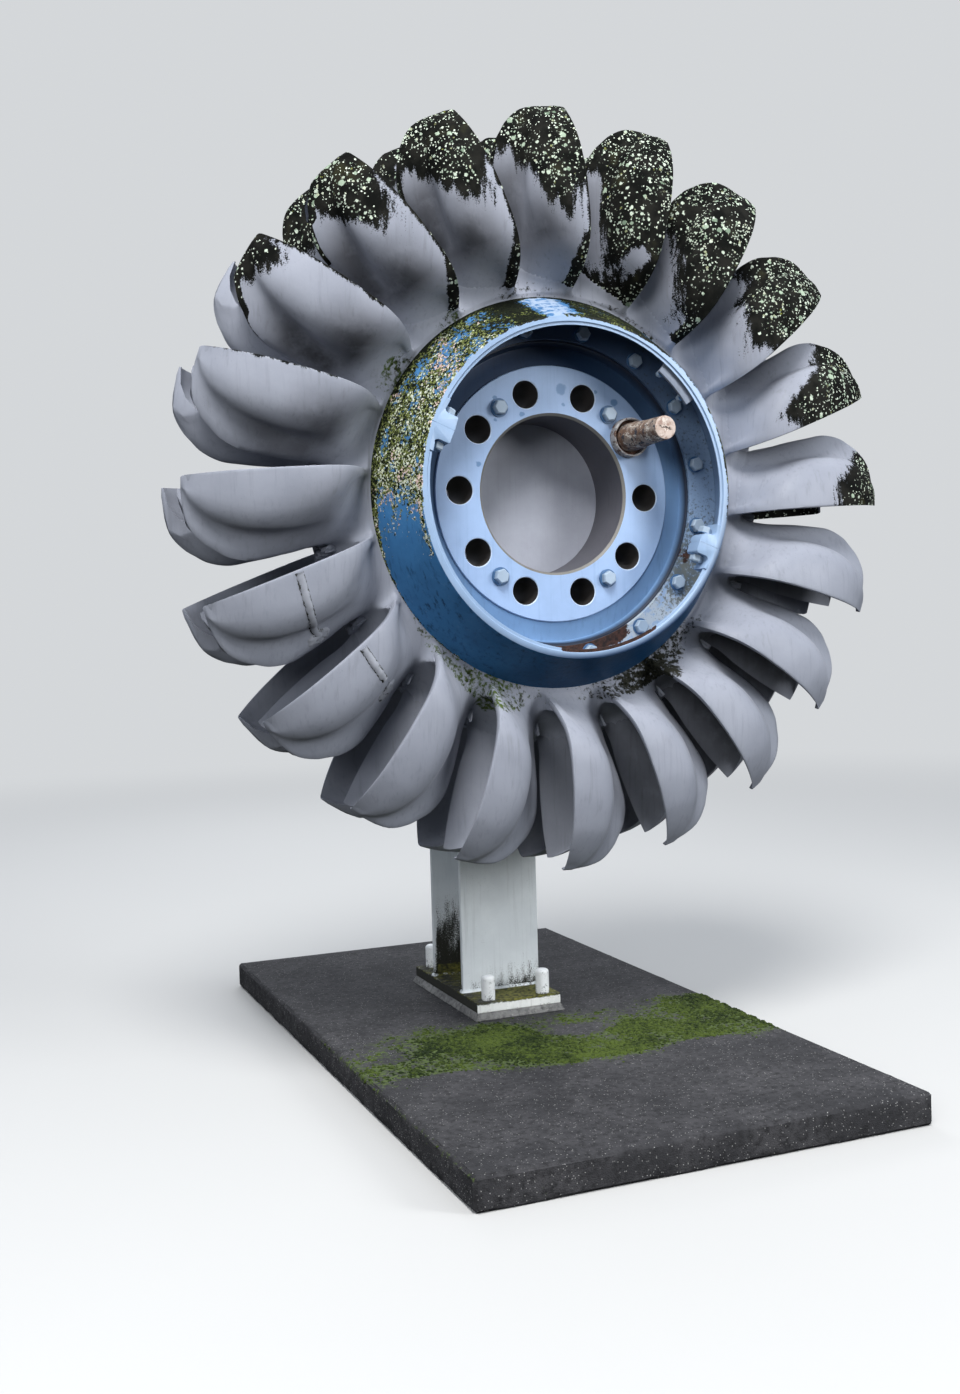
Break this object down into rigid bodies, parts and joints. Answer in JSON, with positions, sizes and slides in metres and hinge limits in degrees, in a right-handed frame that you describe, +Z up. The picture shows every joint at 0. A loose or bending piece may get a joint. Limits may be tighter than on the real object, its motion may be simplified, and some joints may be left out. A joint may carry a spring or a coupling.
{
  "type": "pelton wheel",
  "caption": "Large water turbine runner with double buckets around its rim, mounted as a monument on a stub axle, a steel H-section post and a concrete pad.",
  "frame": {"origin": "middle of the concrete pad's underside, at ground level", "axes": "+Z up, -Y towards the wheel's front, the wheel's axis along Y"},
  "size_m": [2.9996, 3.24, 3.8398],
  "materials": {
    "runner_grey": "weathered light grey paint",
    "pale_blue": "worn pale blue paint",
    "dark_blue": "weathered dark blue paint with lichen",
    "rusty_iron": "rusted",
    "machined_steel": "dull machined",
    "off_white": "weathered off-white paint with mould",
    "mossy_steel": "moss-covered paint",
    "concrete": "dark weathered concrete with fine aggregate"
  },
  "bodies": {
    "stand": {"stub_axle": "machined_steel", "concrete_pad": "concrete", "grout_bed": "concrete", "base_plate": "mossy_steel", "post": "off_white", "anchor_bolt_1": "off_white", "anchor_bolt_2": "off_white", "anchor_bolt_3": "off_white", "anchor_bolt_4": "off_white"},
    "wheel": {"runner_disc": "runner_grey", "coupling_flange": "pale_blue", "coupling_pin": "rusty_iron", "cover_ring_upper": "dark_blue", "cover_ring_lower": "dark_blue", "balance_plate": "rusty_iron", "rear_hub": "machined_steel", "bucket_01": "runner_grey", "bucket_02": "runner_grey", "bucket_03": "runner_grey", "bucket_04": "runner_grey", "bucket_05": "runner_grey", "bucket_06": "runner_grey", "bucket_07": "runner_grey", "bucket_08": "runner_grey", "bucket_09": "runner_grey", "bucket_10": "runner_grey", "bucket_11": "runner_grey", "bucket_12": "runner_grey", "bucket_13": "runner_grey", "bucket_14": "runner_grey", "bucket_15": "runner_grey", "bucket_16": "runner_grey", "bucket_17": "runner_grey", "bucket_18": "runner_grey", "bucket_19": "runner_grey", "bucket_20": "runner_grey"}
  },
  "joints": [
    {"name": "wheel_spin", "type": "hinge", "parent": "stand", "child": "wheel", "pos_m": [0, -0.475, 2.34], "axis": [0, 1, 0], "continuous": true}
  ]
}
